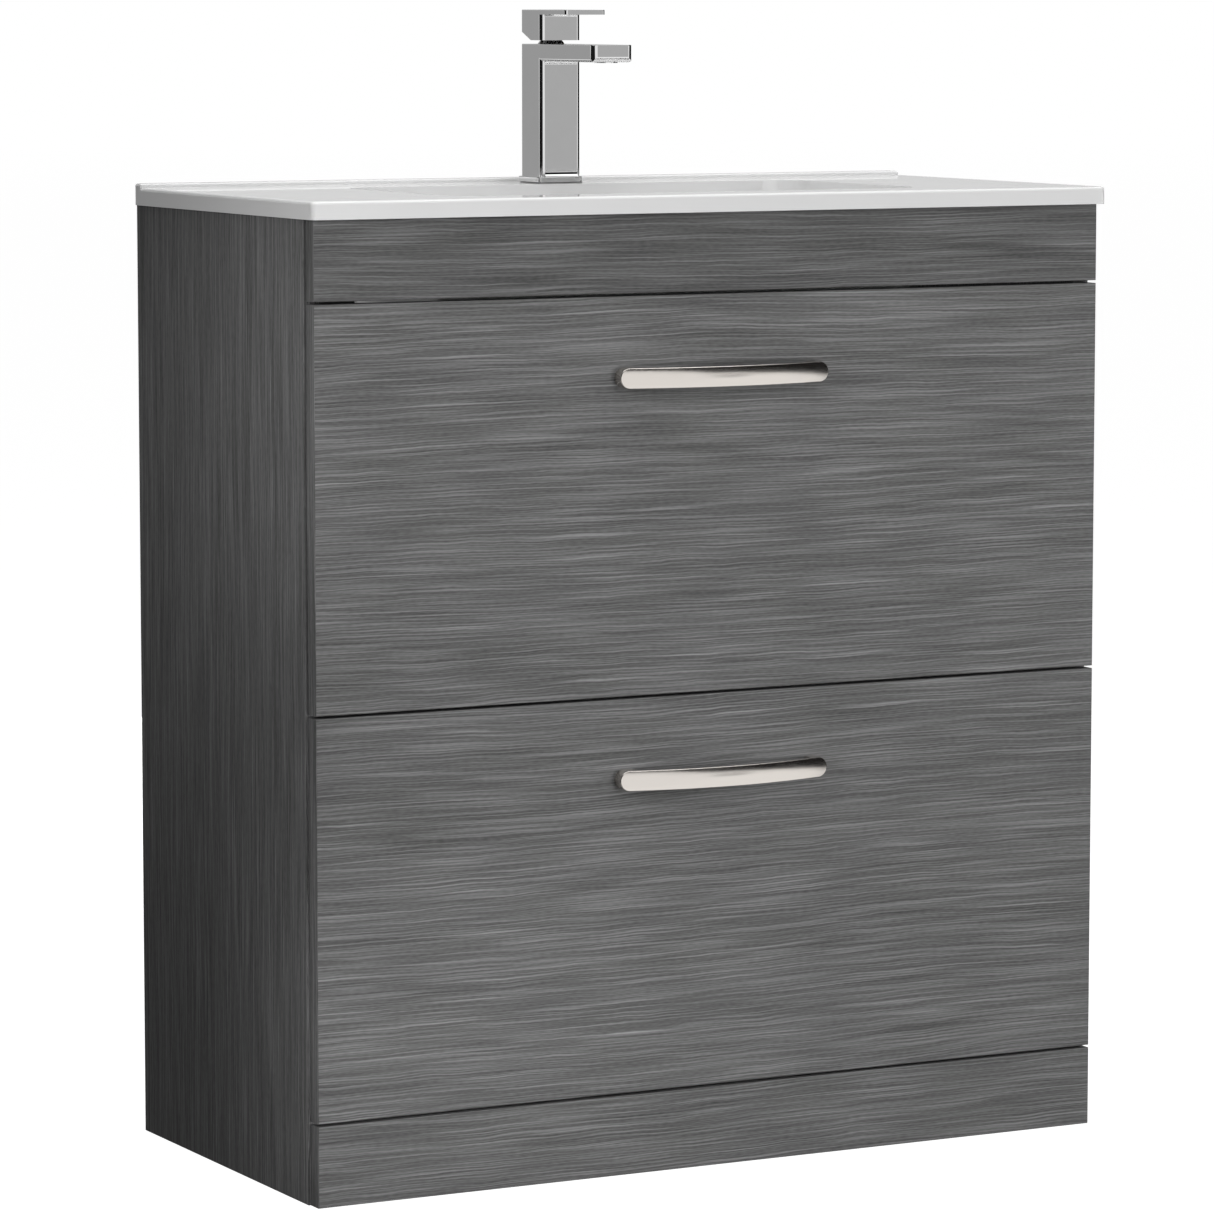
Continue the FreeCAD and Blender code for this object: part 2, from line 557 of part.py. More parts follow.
def basin():
    half = CABINET_WIDTH / 2 + BASIN_SIDE_OVERHANG
    y0 = Y_FACE - BASIN_FRONT_OVERHANG
    slab = block(-half, half, y0, Y_WALL, CABINET_HEIGHT, Z_RIM)
    upright = edges_at(slab, lambda p: near(abs(p.x), half))
    slab = slab.makeFillet(5.0, [e for e in upright if near(e.BoundBox.ZLength, BASIN_RIM)])
    lip = block(-half, half, Y_WALL - BASIN_UPSTAND_DEPTH, Y_WALL, Z_RIM - 4, Z_RIM + BASIN_UPSTAND)
    lip = lip.makeFillet(5.0, [e for e in lip.Edges if near(e.BoundBox.ZLength, 4 + BASIN_UPSTAND)
                               and near(e.CenterOfMass.y, Y_WALL)])
    lip = lip.makeFillet(2.5, edges_at(lip, lambda p: near(p.z, Z_RIM + BASIN_UPSTAND)))
    slab = slab.makeFillet(3.0, edges_at(slab, lambda p: near(p.z, Z_RIM)))
    shell = bowl_solid(BOWL_WALL, CABINET_HEIGHT + 2, Z_BOWL - BOWL_WALL, 22.0)
    # the overflow's conduit: down the back of the bowl, then under its floor to the waste
    y_back = Y_FACE + BOWL_BACK
    y_channel = y_back + 2
    y_conduit = y_channel + CONDUIT_GAP + CONDUIT_WALL
    z_floor = Z_BOWL - BOWL_WALL
    down = block(-CONDUIT_HALF, CONDUIT_HALF, y_back - 20, y_conduit, z_floor - 12, CABINET_HEIGHT + 2)
    under = block(-CONDUIT_HALF, CONDUIT_HALF, Y_WASTE, y_conduit, z_floor - 12, z_floor + 2)
    boss = rod(34.0, (0, Y_WASTE, z_floor - 12), (0, 0, 1), 14)
    body = fuse([slab, lip, shell, down, under, boss])
    body = body.cut(bowl_solid(0, Z_RIM, Z_BOWL, 24.0))
    w = CONDUIT_WALL
    shaft = block(-CONDUIT_HALF + w, CONDUIT_HALF - w, y_channel, y_conduit - w, z_floor - 12 + w,
                  OVERFLOW_Z + OVERFLOW_RADIUS)
    gallery = block(-CONDUIT_HALF + w, CONDUIT_HALF - w, Y_WASTE, y_conduit - w,
                    z_floor - 12 + w, z_floor - 1)
    eye = rod(OVERFLOW_RADIUS, (0, y_back - 30, OVERFLOW_Z), (0, 1, 0), 38)
    tap_hole = rod(TAP_HOLE_RADIUS, (0, Y_TAP, CABINET_HEIGHT - 5), (0, 0, 1), 30)
    waste_hole = rod(WASTE_HOLE_RADIUS, (0, Y_WASTE, z_floor - 20), (0, 0, 1), 60)
    body = cut_all(body, [shaft, gallery, eye, tap_hole, waste_hole])
    # the rim and the bowl are one casting, kept as two solids that meet in a level plane
    wide = 2 * CABINET_WIDTH
    keep("basin_rim", body.common(block(-wide, wide, -wide, wide, CABINET_HEIGHT, Z_RIM + 50)))
    keep("basin_bowl", body.common(block(-wide, wide, -wide, wide, 0, CABINET_HEIGHT)))
    # the trim ring pushed into the overflow's eye, on the leaning back wall
    lean = BOWL_DRAFT * (Z_RIM - OVERFLOW_Z) / BOWL_DEPTH
    y_eye = y_back - lean
    sleeve = tube(OVERFLOW_RADIUS - 0.2, 8.0, (0, y_eye - 1.5, OVERFLOW_Z), (0, 1, 0), 9)
    collar = tube(15.0, 8.0, (0, y_eye - 4.5, OVERFLOW_Z), (0, 1, 0), 2.5)
    collar = collar.makeFillet(1.0, edges_at(collar, lambda p: near(p.y, y_eye - 4.5)))
    neck = tube(OVERFLOW_RADIUS - 0.2, 8.0, (0, y_eye - 2.5, OVERFLOW_Z), (0, 1, 0), 2)
    keep("overflow_ring", fuse([sleeve, neck, collar]))


Z_WASTE_END = 698.0
TAIL_RADIUS = 20.7
PLUG_STEM = 6.0
PLUG_OPEN = 7.0              # lift of the plug when it is open


def waste():
    z_floor = Z_BOWL - BOWL_WALL - 12
    flange = rod(32.0, (0, Y_WASTE, Z_BOWL), (0, 0, 1), 2.5)
    flange = flange.makeFillet(1.5, edges_at(flange, lambda p: near(p.z, Z_BOWL + 2.5)))
    tail = rod(TAIL_RADIUS, (0, Y_WASTE, Z_WASTE_END), (0, 0, 1), Z_BOWL - Z_WASTE_END)
    bore = rod(18.0, (0, Y_WASTE, Z_WASTE_END - 1), (0, 0, 1), 90)
    body = fuse([flange, tail]).cut(bore)
    z_guide = Z_BOWL - 34
    web = fuse([block(-18.5, 18.5, Y_WASTE - 2, Y_WASTE + 2, z_guide, z_guide + 8),
                block(-2, 2, Y_WASTE - 18.5, Y_WASTE + 18.5, z_guide, z_guide + 8),
                rod(9.0, (0, Y_WASTE, z_guide), (0, 0, 1), 8)])
    body = fuse([body, web]).cut(rod(PLUG_STEM + 0.3, (0, Y_WASTE, z_guide - 1), (0, 0, 1), 12))
    for angle in (0, 90):
        slot = block(-30, 30, -5, 5, z_floor + 6, z_floor + 13)
        slot.rotate(V(0, 0, 0), V(0, 0, 1), angle)
        slot.translate(V(0, Y_WASTE, 0))
        body = body.cut(slot)
    keep("waste_body", body)
    seal = tube(31.0, TAIL_RADIUS + 0.1, (0, Y_WASTE, z_floor - 3), (0, 0, 1), 3)
    keep("rubber_parts", seal)
    nut = hexagon(54.0, z_floor - 13, 10, (0, Y_WASTE))
    nut = nut.cut(rod(TAIL_RADIUS + 0.1, (0, Y_WASTE, z_floor - 14), (0, 0, 1), 12))
    keep("waste_backnut", nut)
    z_cap = Z_BOWL + 2.5 + PLUG_OPEN + 0.4
    cap = rod(30.0, (0, Y_WASTE, z_cap), (0, 0, 1), 6)
    cap = cap.makeFillet(2.5, edges_at(cap, lambda p: near(p.z, z_cap + 6)))
    stem = rod(PLUG_STEM, (0, Y_WASTE, z_guide - 14), (0, 0, 1), z_cap - z_guide + 15)
    keep("waste_plug", fuse([cap, stem]))


Z_TRAP_BODY = 600.0
TRAP_BODY_TOP = 655.0
Z_OUTLET = 632.0
PIPE_RADIUS = 16.0


def ribbed_nut(outer, inner, start, direction, length, ribs):
    """A hand nut with finger ribs."""
    shape = rod(outer, start, direction, length)
    x, y, z = start
    for i in range(ribs):
        angle = 2 * math.pi * i / ribs
        across = (outer * math.cos(angle), outer * math.sin(angle))
        point = (x + across[0], y + across[1], z) if direction[2] else (x + across[0], y, z + across[1])
        shape = shape.fuse(rod(1.8, point, direction, length))
    return shape.removeSplitter().cut(rod(inner, start, direction, length))


def trap():
    # body: inlet tube, chamber with a dip tube, and the outlet stub
    chamber = tube(29.0, 26.5, (0, Y_WASTE, Z_TRAP_BODY), (0, 0, 1), TRAP_BODY_TOP - Z_TRAP_BODY)
    lid = rod(29.0, (0, Y_WASTE, TRAP_BODY_TOP - 4), (0, 0, 1), 4)
    inlet = rod(PIPE_RADIUS, (0, Y_WASTE, 572), (0, 0, 1), Z_WASTE_END - 1 - 572)
    flange = rod(TAIL_RADIUS, (0, Y_WASTE, Z_WASTE_END - 5), (0, 0, 1), 4)
    stub = rod(19.0, (0, Y_WASTE + 24, Z_OUTLET), (0, 1, 0), 32)
    body = fuse([chamber, lid, inlet, flange, stub])
    body = cut_all(body, [rod(14.0, (0, Y_WASTE, 560), (0, 0, 1), 150),
                          rod(16.3, (0, Y_WASTE + 30, Z_OUTLET), (0, 1, 0), 40),
                          rod(13.0, (0, Y_WASTE + 19, Z_OUTLET), (0, 1, 0), 20)])
    keep("trap_body", body)
    cup = rod(33.0, (0, Y_WASTE, 548), (0, 0, 1), 58)
    cup = cup.makeFillet(8.0, edges_at(cup, lambda p: near(p.z, 548)))
    cup = cup.cut(rod(29.1, (0, Y_WASTE, 599.5), (0, 0, 1), 10))
    cup = cup.cut(rod(26.5, (0, Y_WASTE, 556), (0, 0, 1), 60))
    for i in range(12):
        angle = math.radians(30 * i)
        groove_at = (34.2 * math.cos(angle), Y_WASTE + 34.2 * math.sin(angle), 560)
        cup = cup.cut(rod(2.2, groove_at, (0, 0, 1), 38))
    keep("trap_cup", cup)
    inlet_nut = ribbed_nut(26.5, TAIL_RADIUS + 0.2, (0, Y_WASTE, Z_WASTE_END - 6), (0, 0, 1), 20, 16)
    floor = tube(25.0, PIPE_RADIUS + 0.2, (0, Y_WASTE, Z_WASTE_END - 9), (0, 0, 1), 3)
    outlet_nut = ribbed_nut(24.0, 19.2, (0, Y_WASTE + 42, Z_OUTLET), (0, 1, 0), 18, 16)
    lip = tube(23.0, PIPE_RADIUS + 0.2, (0, Y_WASTE + 60, Z_OUTLET), (0, 1, 0), 3)
    keep("trap_nuts", fuse([inlet_nut, floor]), fuse([outlet_nut, lip]))
    y_free = Y_WASTE + 64
    pipe = fuse([rod(PIPE_RADIUS - 0.5, (0, Y_WASTE + 40, Z_OUTLET), (0, 1, 0), 24),
                 rod(PIPE_RADIUS, (0, y_free, Z_OUTLET), (0, 1, 0), Y_WALL - y_free)])
    keep("trap_outlet_pipe", pipe.cut(rod(14.0, (0, Y_WASTE + 39, Z_OUTLET), (0, 1, 0), 200)))


# ---- tap ----------------------------------------------------------------------------------------------
FLANGE_GROW = 2.5
Z_BODY = Z_RIM + TAP_BODY_HEIGHT             # top of the column
Z_PIVOT = Z_BODY - 7.0                       # the lever tilts about this height
DOME_RADIUS = 14.5
CARTRIDGE_RADIUS = 14.8
DOME_SHANK = 12.5
INLET_RADIUS = 5.0
INLET_LENGTH = 14.0
INLET_OFFSET = 9.0


def soften(shape, radius, test):
    return shape.makeFillet(radius, edges_at(shape, test))


def round_front(x0, x1, y0, y1, z0, z1, front, back):
    """A block whose upright corners are rounded, more at the front than at the back."""
    shape = block(x0, x1, y0, y1, z0, z1)
    for y, radius in ((y0, front), (y1, back)):
        corners = [e for e in edges_at(shape, lambda p: near(p.y, y)) if near(e.BoundBox.ZLength, z1 - z0)]
        shape = shape.makeFillet(radius, corners)
    return shape


def tap_body():
    half = TAP_WIDTH / 2
    y0 = Y_FACE + TAP_FRONT
    y1 = y0 + TAP_DEPTH
    y_tip = y0 - SPOUT_REACH
    z0 = Z_RIM + 1.0
    z_under = Z_BODY - SPOUT_THICK
    g = FLANGE_GROW
    flange = round_front(-half - g, half + g, y0 - g, y1 + g, z0, z0 + 5.0, TAP_CORNER + g, 1.5)
    flange = soften(flange, 0.8, lambda p: near(p.z, z0 + 5.0))
    column = round_front(-half, half, y0, y1, z0, z_under + 8, TAP_CORNER, 0.8)
    spout = block(-half, half, y_tip, y1, z_under, Z_BODY)
    spout = spout.makeFillet(5.0, edges_at(spout, lambda p: near(p.y, y_tip) and near(p.z, z_under)))
    spout = spout.common(round_front(-half, half, y_tip, y1, z_under - 1, Z_BODY + 1, 5.0, 0.8))
    belly = block(-half, half, y_tip - 1, y1 + 1, z_under, Z_BODY + 1)
    spout = spout.common(soften(belly, SPOUT_BELLY, lambda p: near(abs(p.x), half) and near(p.z, z_under)))
    spout = soften(spout, 0.6, lambda p: near(p.z, Z_BODY))
    # the fillet strips under the spout and above the flange
    r = 3.0
    inset = half - TAP_CORNER
    web = block(-inset, inset, y0 - r, y0 + 1, z_under - r, z_under + 1)
    web = web.cut(rod(r, (-inset - 1, y0 - r, z_under - r), (1, 0, 0), 2 * inset + 2))
    foot = block(-inset, inset, y0 - g + 0.5, y0 + 1, z0 + 4, z0 + 5.0 + FOOT_ROUND)
    foot = foot.cut(rod(FOOT_ROUND, (-inset - 1, y0 - FOOT_ROUND, z0 + 5.0 + FOOT_ROUND), (1, 0, 0),
                        2 * inset + 2))
    shape = fuse([column, spout, flange, web, foot])
    cavity = rod(CARTRIDGE_RADIUS, (0, Y_TAP, Z_BODY - 46), (0, 0, 1), 50)
    y_tip = y0 - SPOUT_REACH
    waterway = rod(4.5, (0, y_tip + 14, Z_BODY - SPOUT_THICK / 2), (0, 1, 0), SPOUT_REACH + 2)
    nozzle = rod(4.5, (0, y_tip + 14, Z_BODY - SPOUT_THICK / 2), (0, 0, -1), SPOUT_THICK)
    seat = rod(11.0, (0, y_tip + 14, Z_BODY - SPOUT_THICK - 1), (0, 0, 1), 6)
    stud_hole = rod(4.0, (0, Y_TAP - 9, z0 - 1), (0, 0, 1), 19)
    tools = [cavity, waterway, nozzle, seat, stud_hole]
    for x in (-INLET_OFFSET, INLET_OFFSET):
        tools.append(rod(INLET_RADIUS, (x, Y_TAP + 4, z0 - 1), (0, 0, 1), INLET_LENGTH + 1))
        tools.append(rod(3.0, (x, Y_TAP + 4, z0), (0, 0, 1), Z_BODY - 46 - z0 + 1))
    keep("tap_body", cut_all(shape, tools))
    seal = block(-half - 1, half + 1, y0 - 1, y1 + 1, Z_RIM, z0)
    seal = seal.cut(rod(16.0, (0, Y_TAP, Z_RIM - 1), (0, 0, 1), 3))
    keep("rubber_parts", seal)
    aerator = rod(10.8, (0, y_tip + 14, Z_BODY - SPOUT_THICK - 0.6), (0, 0, 1), 5.4)
    for ring, count in ((3.0, 6), (6.6, 12)):
        for i in range(count):
            angle = 2 * math.pi * i / count
            aerator = aerator.cut(rod(0.9, (ring * math.cos(angle), y_tip + 14 + ring * math.sin(angle),
                                            Z_BODY - SPOUT_THICK - 1), (0, 0, 1), 3))
    keep("tap_aerator", aerator)


def tap_fixings():
    y = Y_TAP - 9
    keep("tap_stud", rod(3.9, (0, y, 812), (0, 0, 1), Z_RIM + 16 - 812))
    washer = rod(24.0, (0, Y_TAP, CABINET_HEIGHT - 5), (0, 0, 1), 5)
    opening = block(-14, 14, Y_TAP - 3, Y_TAP + 30, CABINET_HEIGHT - 6, CABINET_HEIGHT + 1)
    washer = washer.cut(opening).cut(rod(4.0, (0, y, CABINET_HEIGHT - 6), (0, 0, 1), 8))
    nut = hexagon(13.0, CABINET_HEIGHT - 13, 8, (0, y))
    nut = nut.cut(rod(3.95, (0, y, CABINET_HEIGHT - 14), (0, 0, 1), 10))
    keep("tap_washer_and_nut", washer, nut)


def tap_cartridge():
    shell = rod(CARTRIDGE_RADIUS - 0.1, (0, Y_TAP, Z_BODY - 46), (0, 0, 1), 46)
    pocket = rod(DOME_SHANK + 0.3, (0, Y_TAP, Z_BODY - 17), (0, 0, 1), 20)
    keep("tap_cartridge", shell.cut(pocket))
    ball = Part.makeSphere(DOME_RADIUS, V(0, Y_TAP, Z_PIVOT))
    cap = ball.common(block(-20, 20, Y_TAP - 20, Y_TAP + 20, Z_BODY, Z_BODY + 20))
    shank = rod(DOME_SHANK, (0, Y_TAP, Z_BODY - 15), (0, 0, 1), 15)
    slot = block(-4.6, 4.6, Y_TAP - 4.8, Y_TAP + 11.2, Z_PIVOT - 6, Z_BODY + 20)
    dome = fuse([cap, shank]).cut(slot)
    pin = (-10.0, Y_TAP, Z_PIVOT)
    dome = dome.cut(rod(1.5, pin, (1, 0, 0), 20))
    keep("tap_swivel_dome", dome)
    keep("tap_lever_pin", rod(1.45, (-9.8, Y_TAP, Z_PIVOT), (1, 0, 0), 19.6))


def tap_lever():
    half = TAP_WIDTH / 2
    y0 = Y_FACE + TAP_FRONT
    y1 = y0 + TAP_DEPTH
    z0 = Z_BODY + LEVER_GAP
    z1 = z0 + LEVER_BLOCK
    z2 = z1 + LEVER_PLATE
    block_shape = round_front(-half, half, y0, y1, z0, z2, TAP_CORNER, 0.8)
    plate = round_front(-half, half, y1 - LEVER_LENGTH, y1, z1, z2, 2.5, 0.8)
    shape = fuse([block_shape, plate])
    corners = [(Y_TAP + 1, z0), (y1, z0 + 8), (y1 + 5, z0 + 8), (y1 + 5, z0 - 1), (Y_TAP + 1, z0 - 1),
               (Y_TAP + 1, z0)]
    wedge = Part.Face(Part.makePolygon([V(0, y, z) for y, z in corners])).extrude(V(TAP_WIDTH + 4, 0, 0))
    wedge.translate(V(-half - 2, 0, 0))
    shape = shape.cut(wedge)
    shape = soften(shape, 0.6, lambda p: near(p.z, z2))
    r = 2.0
    inset = half - TAP_CORNER
    web = block(-inset, inset, y0 - r, y0 + 1, z1 - r, z1 + 1)
    web = web.cut(rod(r, (-inset - 1, y0 - r, z1 - r), (1, 0, 0), 2 * inset + 2))
    shape = fuse([shape, web])
    hollow = block(-half + 3, half - 3, y0 + 3, y1 - 3, z0 - 1, z1 - 5)
    boss = rod(8.0, (0, Y_TAP, z0 + 7.5), (0, 0, 1), LEVER_BLOCK - 8)
    shape = fuse([shape.cut(hollow), boss])
    stem_top = z1 - 2
    shape = shape.cut(rod(4.0, (0, Y_TAP, z0), (0, 0, 1), stem_top - z0))
    z_grub = z0 + 14
    grub = rod(2.5, (0, Y_TAP + 4.0, z_grub), (0, 1, 0), y1 - 1.5 - Y_TAP - 4.0)
    shape = shape.cut(rod(2.5, (0, Y_TAP + 3, z_grub), (0, 1, 0), 40))
    keep("tap_lever", shape)
    stem = rod(4.0, (0, Y_TAP, Z_PIVOT), (0, 0, 1), stem_top - Z_PIVOT)
    eye = rod(4.2, (-4.0, Y_TAP, Z_PIVOT), (1, 0, 0), 8.0)
    stem = fuse([stem.common(block(-4, 4, Y_TAP - 4, Y_TAP + 4, Z_PIVOT, stem_top)), eye])
    keep("tap_lever_stem", stem.cut(rod(1.5, (-5, Y_TAP, Z_PIVOT), (1, 0, 0), 10)).cut(grub))
    grub = grub.cut(hexagon_y(2.5, (0, y1 - 1.5, z_grub), 3))
    keep("tap_grub_screw", grub)


def hexagon_y(across_flats, end, depth):
    """A hexagonal socket that opens towards +Y at the point end."""
    socket = hexagon(across_flats, 0, depth + 1, (0, 0))
    socket.rotate(V(0, 0, 0), V(1, 0, 0), -90)
    socket.translate(V(end[0], end[1] - depth, end[2]))
    return socket


def main():
    os.makedirs(OUT, exist_ok=True)
    carcass()
    fixed_fronts()
    drawer("upper", Z_UPPER, True)
    drawer("lower", Z_LOWER, False)
    basin()
    waste()
    trap()
    tap_body()
    tap_fixings()
    tap_cartridge()
    tap_lever()
    for name, shapes in sorted(NODES.items()):
        solids = [solid for shape in shapes for solid in shape.Solids]
        for solid in solids:
            if not solid.isValid() or solid.Volume <= 0:
                print("BAD SOLID in", name)
        whole = solids[0] if len(solids) == 1 else Part.makeCompound(solids)
        whole.exportStep(os.path.join(OUT, name + ".step"))
        print(f"{name}: {len(solids)} solid(s), {whole.Volume / 1000:.1f} cm3")
    print(len(NODES), "nodes")


main()
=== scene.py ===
# %% [markdown]
# A bathroom vanity cabinet, 800 mm wide: a grey woodgrain carcass with two wide drawers under a ceramic basin with
# a single-lever tap. Its sixty pieces are already shaped and packed, with their joints, so they only have to be
# opened here. What is left to make is what the eye adds to the shapes: the camera, the finish of every piece, and
# the studio that they are lit and mirrored in.

# %% Open the packed model
import json
import math

import bpy
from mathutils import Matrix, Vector


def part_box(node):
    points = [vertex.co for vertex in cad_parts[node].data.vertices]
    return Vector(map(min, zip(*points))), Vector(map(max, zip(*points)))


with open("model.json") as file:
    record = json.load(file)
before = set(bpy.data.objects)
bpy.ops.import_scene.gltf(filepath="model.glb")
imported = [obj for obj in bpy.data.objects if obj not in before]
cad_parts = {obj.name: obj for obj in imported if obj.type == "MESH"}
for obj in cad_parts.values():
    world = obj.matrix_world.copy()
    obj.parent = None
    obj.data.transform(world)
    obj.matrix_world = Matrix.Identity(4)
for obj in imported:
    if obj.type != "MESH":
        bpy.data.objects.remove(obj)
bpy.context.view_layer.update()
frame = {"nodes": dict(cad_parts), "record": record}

nodes = frame["nodes"]

# %% [markdown]
# The camera. Furniture is pictured from far away with a long lens, because then upright edges stay nearly
# parallel and the doors keep their true proportions. A short lens close by would be easier to aim, but it makes
# the near corner bulge. The camera stands to the left of the cabinet, a little above the basin, and looks slightly
# down. Its place is counted from the face of the drawers, because that is the plane that the eye measures.

# %% Camera
front_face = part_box("upper_drawer_front")[0].y
LENS = 163.83                                 # mm, on a sensor 36 mm wide
YAW, PITCH = 27.69, 6.34                      # degrees to the right and down
EYE = Vector((-2.38036, front_face - 4.31987, 1.05737))

lens = bpy.data.cameras.new("camera")
lens.lens = LENS
lens.sensor_width = 36.0
camera = bpy.data.objects.new("camera", lens)
camera.location = EYE
camera.rotation_euler = (math.radians(90 - PITCH), 0, math.radians(-YAW))
bpy.context.scene.collection.objects.link(camera)
bpy.context.scene.camera = camera
print("camera at", [round(v, 3) for v in EYE], "with a", LENS, "mm lens")

# %% [markdown]
# Materials as recipes. A procedural material is a small graph of nodes. It can be drawn by hand in the shader
# editor, but written as code each finish can be repeated with other numbers. The class below adds a node and
# fills its inputs in one line: an input that is given a socket is linked, and one that is given a number is set.

# %% Add nodes in one line
class Nodes:
    """A node tree with a short way to add nodes."""

    def __init__(self, tree):
        self.tree = tree

    def plug(self, socket, value):
        if isinstance(value, bpy.types.NodeSocket):
            self.tree.links.new(value, socket)
        else:
            socket.default_value = value

    def add(self, kind, inputs, **settings):
        made = self.tree.nodes.new("ShaderNode" + kind)
        for key, value in settings.items():
            setattr(made, key, value)
        for key, value in inputs.items():
            self.plug(made.inputs[key], value)
        return made

# %% Shorthands for the commonest nodes
class Recipe(Nodes):
    """The same tree, with the nodes that every finish needs. Each call returns the node's output."""

    def math(self, operation, a, b=0.0, c=0.0):
        return self.add("Math", {0: a, 1: b, 2: c}, operation=operation).outputs[0]

    def mix(self, factor, a, b):
        return self.add("Mix", {0: factor, 6: a, 7: b}, data_type="RGBA").outputs[2]

    def vector(self, x, y, z):
        return self.add("CombineXYZ", {0: x, 1: y, 2: z}).outputs[0]

    def split(self, vector):
        return self.add("SeparateXYZ", {0: vector}).outputs

    def noise(self, vector, scale, detail=2.0):
        return self.add("TexNoise", {"Vector": vector, "Scale": scale, "Detail": detail}).outputs["Fac"]

    def span(self, value, low, high, to_low=0.0, to_high=1.0):
        """Stretches low..high to to_low..to_high, and stops at both ends."""
        return self.add("MapRange", {0: value, 1: low, 2: high, 3: to_low, 4: to_high}).outputs[0]


print("shorthands:", ", ".join(name for name in vars(Recipe) if not name.startswith("_")))

# %% [markdown]
# One shader does for everything on a cabinet. Blender's principled shader holds the look of nearly any solid
# surface: its own colour, how rough it is, whether it is metal, and a clear coat over it. A mix of separate shaders
# would give more freedom, but these numbers are the ones that a maker also thinks in. What is the same all over a
# surface is set straight on the shader, and only what varies gets nodes.

# %% A principled material
def material(name, colour, roughness, metallic=0.0, **surface):
    """Returns the material, its recipe and its shader. Other settings are named like coat_weight."""
    made = bpy.data.materials.new(name)
    made.use_nodes = True
    shader = made.node_tree.nodes["Principled BSDF"]
    settings = {"base_color": (*colour, 1.0), "roughness": roughness, "metallic": metallic, **surface}
    for key, value in settings.items():
        shader.inputs[key.replace("_", " ").title().replace("Ior", "IOR")].default_value = value
    return made, Recipe(made.node_tree), shader

# %% [markdown]
# Grey woodgrain. The fronts and sides are board faced with a printed foil: fine pale pore lines on grey, one to
# three millimetres apart, nearly straight and some five centimetres long. One stretched noise gives soft blobs and
# no lines. A wave texture gives lines that never end. So the grain is a sum of thin layers of noise, each drawn
# out along the grain by its own amount, and only the crests of each layer are kept, so that lines are pale and
# thin on an even ground. All layers read one coordinate that is bent a little, so they sway together.

# %% [markdown]
# First the place on the board. The print is laid out on the sheet before the panel is cut, so the recipe needs
# the distance along the grain and across it. Object coordinates give both in metres, because every piece was
# modelled in place. On a drawer front the grain lies level, but the banding on its ends runs upright, as it comes
# off a roll, and the face's own direction tells the two apart.

# %% Where the grain runs
def grain_place(r, along, shift):
    """Distance along the grain, across it, and into the board, in metres."""
    place = r.add("TexCoord", {})
    x, y, z = r.split(place.outputs["Object"])
    normal_x = r.split(place.outputs["Normal"])[0]
    upright = r.vector(r.math("ADD", z, shift), r.math("ADD", y, x), x)
    if along == "Z":
        return r.split(upright)
    level = r.vector(r.math("ADD", x, shift), r.math("ADD", z, y), y)
    on_end = r.math("GREATER_THAN", r.math("ABSOLUTE", normal_x), 0.6)     # end edges are banded upright
    return r.split(r.add("Mix", {0: on_end, 4: level, 5: upright}, data_type="VECTOR").outputs[1])

# %% One layer of noise, drawn out along the grain
def grain_layer(r, run, across, deep, per_metre_along, per_metre_across, detail=0.0):
    into = r.math("MULTIPLY_ADD", deep, 6.0, per_metre_across * 0.37)
    place = r.vector(r.math("MULTIPLY", run, per_metre_along), r.math("MULTIPLY", across, per_metre_across), into)
    return r.noise(place, 1.0, detail)

# %% [markdown]
# Then the layers. The crests are the pale lines: many fine ones, fewer long ones, and some broad and short. The
# clouds are what lies between them: soft bands, wide drifts of light and dark, and a fine tooth that keeps the
# ground from looking painted. The numbers were settled one layer at a time.

# %% Layers of the print
GROUND, DARKEST = 0.86, 0.35               # how pale the print is with no line, and its floor
CRESTS = (                 # lines per metre along and across, where the crest starts and ends, strength
    (12.0, 980.0, 0.50, 0.80, 0.58),
    (7.0, 800.0, 0.50, 0.80, 0.62),
    (9.0, 520.0, 0.66, 0.84, 0.50),
)
CLOUDS = (                 # lines per metre along and across, octaves, strength
    (8.0, 240.0, 2.0, 0.50),
    (4.0, 55.0, 3.0, 0.55),
    (160.0, 900.0, 0.0, 0.42),
)
print(len(CRESTS) + len(CLOUDS), "layers in the woodgrain")

# %% [markdown]
# Growth rings that are cut along the trunk leave rows of pores, all a few millimetres apart. A sine of the
# distance across the grain gives such rows, but dead straight and without end. So the distance is first swayed by
# slow noise, the phase slips from place to place, and patches of the rows fade out.

# %% Rows of pores, swayed
ROW_PITCH = 0.0032                         # metres between rows of pores
ROW_STRENGTH, ROW_SLIP = 0.13, 10.0        # how much paler a row is, and how far its phase wanders, in radians
DRIFT, RIPPLE, WIGGLE = 0.015, 0.0030, 0.0022      # how far slow, quick and quickest noise bend it, in metres


def sway(r, run, across, deep):
    """The distance across the grain, bent as the grain bends."""
    drift = r.math("SUBTRACT", grain_layer(r, run, across, deep, 2.6, 5.0, 1.0), 0.5)
    ripple = r.math("SUBTRACT", grain_layer(r, run, across, deep, 12.0, 60.0, 2.0), 0.5)
    wiggle = r.math("SUBTRACT", grain_layer(r, run, across, deep, 26.0, 42.0, 1.0), 0.5)
    bent = r.math("MULTIPLY_ADD", ripple, RIPPLE, r.math("MULTIPLY_ADD", wiggle, WIGGLE, across))
    return r.math("MULTIPLY_ADD", drift, DRIFT, bent)


def pore_rows(r, run, swayed, deep):
    """Rows of pores that come and go: minus one to one."""
    slip = grain_layer(r, run, swayed, deep, 4.0, 70.0, 2.0)
    phase = r.math("MULTIPLY_ADD", slip, ROW_SLIP, r.math("MULTIPLY", swayed, 2 * math.pi / ROW_PITCH))
    patchy = r.span(grain_layer(r, run, swayed, deep, 9.0, 110.0, 1.0), 0.40, 0.65)
    return r.math("MULTIPLY", r.math("SINE", phase), patchy)


print("a row of pores every", ROW_PITCH * 1000, "mm")

